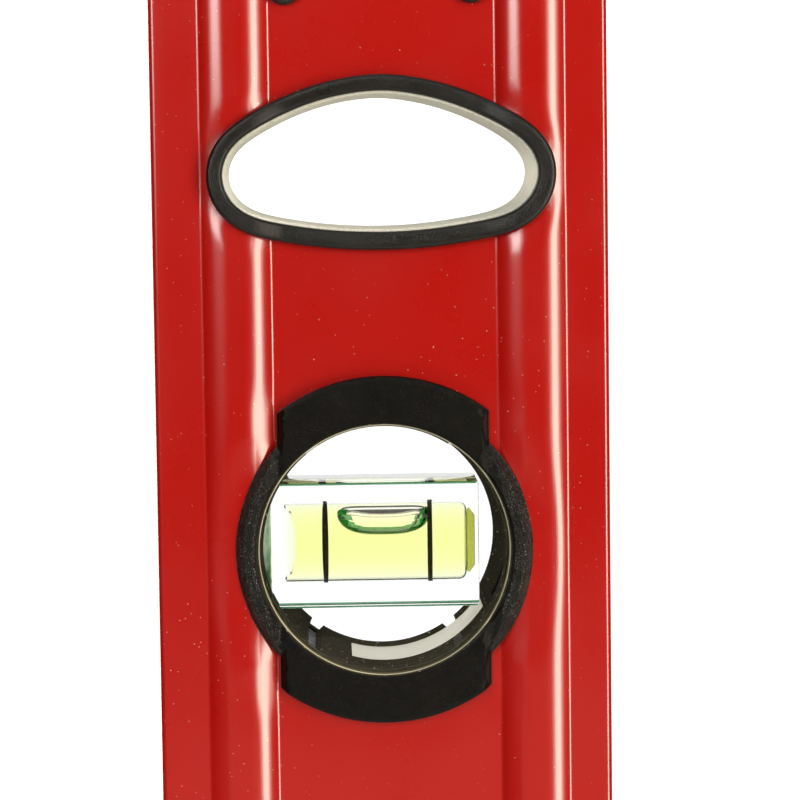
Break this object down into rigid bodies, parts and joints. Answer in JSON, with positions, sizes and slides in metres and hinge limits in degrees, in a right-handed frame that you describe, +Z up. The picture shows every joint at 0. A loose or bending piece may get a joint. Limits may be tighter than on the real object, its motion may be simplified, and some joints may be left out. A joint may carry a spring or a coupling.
{
  "type": "spirit level",
  "caption": "Box-section spirit level with ribbed red profile, a level vial, two round plumb vials and an eye-shaped hang hole near each end.",
  "frame": {"origin": "middle of the lower end cap's bottom face, where the level stands upright", "axes": "+Z up along the level, +X from the measuring edge towards the top edge, +Y through the thickness, away from the face in the picture"},
  "size_m": [0.06, 0.026, 0.4],
  "materials": {
    "lacquer": "red satin-gloss lacquer on extruded aluminium",
    "cap_rubber": "black moulded rubber-like plastic, fine grain",
    "black_plastic": "black moulded plastic, fine leather grain on the rounded rims",
    "pale_plastic": "pale grey cream moulded plastic",
    "clear_lens": "clear polished plastic plate",
    "clear_acrylic": "clear cast acrylic, green at the edges",
    "vial_plug": "clear plug, tinted by the fluid",
    "vial_fluid": "yellow-green fluorescent fluid",
    "vial_bubble": "air bubble",
    "marker": "black line rings"
  },
  "bodies": {
    "frame": {"profile": "lacquer", "upper_end_cap": "cap_rubber", "lower_end_cap": "cap_rubber", "upper_hole_front_rim": "black_plastic", "upper_hole_back_rim": "black_plastic", "upper_hole_sleeve": "pale_plastic", "lower_hole_front_rim": "black_plastic", "lower_hole_back_rim": "black_plastic", "lower_hole_sleeve": "pale_plastic", "upper_plumb_front_surround": "black_plastic", "upper_plumb_back_surround": "black_plastic", "upper_plumb_front_lens": "clear_lens", "upper_plumb_back_lens": "clear_lens", "upper_plumb_vial_block": "clear_acrylic", "upper_plumb_vial_plug": "vial_plug", "upper_plumb_fluid": "vial_fluid", "upper_plumb_marker_ring_1": "marker", "upper_plumb_marker_ring_2": "marker", "lower_plumb_front_surround": "black_plastic", "lower_plumb_back_surround": "black_plastic", "lower_plumb_front_lens": "clear_lens", "lower_plumb_back_lens": "clear_lens", "lower_plumb_vial_block": "clear_acrylic", "lower_plumb_vial_plug": "vial_plug", "lower_plumb_fluid": "vial_fluid", "lower_plumb_marker_ring_1": "marker", "lower_plumb_marker_ring_2": "marker", "level_front_surround": "black_plastic", "level_back_surround": "black_plastic", "level_front_lens": "clear_lens", "level_back_lens": "clear_lens", "level_edge_lens": "clear_lens", "level_vial_block": "clear_acrylic", "level_vial_plug": "vial_plug", "level_fluid": "vial_fluid", "level_marker_ring_1": "marker", "level_marker_ring_2": "marker"},
    "upper_plumb_bubble": {"upper_plumb_bubble": "vial_bubble"},
    "lower_plumb_bubble": {"lower_plumb_bubble": "vial_bubble"},
    "level_bubble": {"level_bubble": "vial_bubble"}
  },
  "joints": [
    {"name": "upper_plumb_bubble_run", "type": "slide", "parent": "frame", "child": "upper_plumb_bubble", "axis": [1, 0, 0], "range_m": [-0.005, 0.0045], "stiffness_N_per_m": 0.05},
    {"name": "lower_plumb_bubble_run", "type": "slide", "parent": "frame", "child": "lower_plumb_bubble", "axis": [1, 0, 0], "range_m": [-0.005, 0.0045], "stiffness_N_per_m": 0.05},
    {"name": "level_bubble_run", "type": "slide", "parent": "frame", "child": "level_bubble", "axis": [0, 0, -1], "range_m": [0, 0.025], "stiffness_N_per_m": 0.5, "springref_m": -0.02}
  ],
  "couplings": [
    {"joint": "lower_plumb_bubble_run", "follows": "upper_plumb_bubble_run", "ratio": 1}
  ]
}
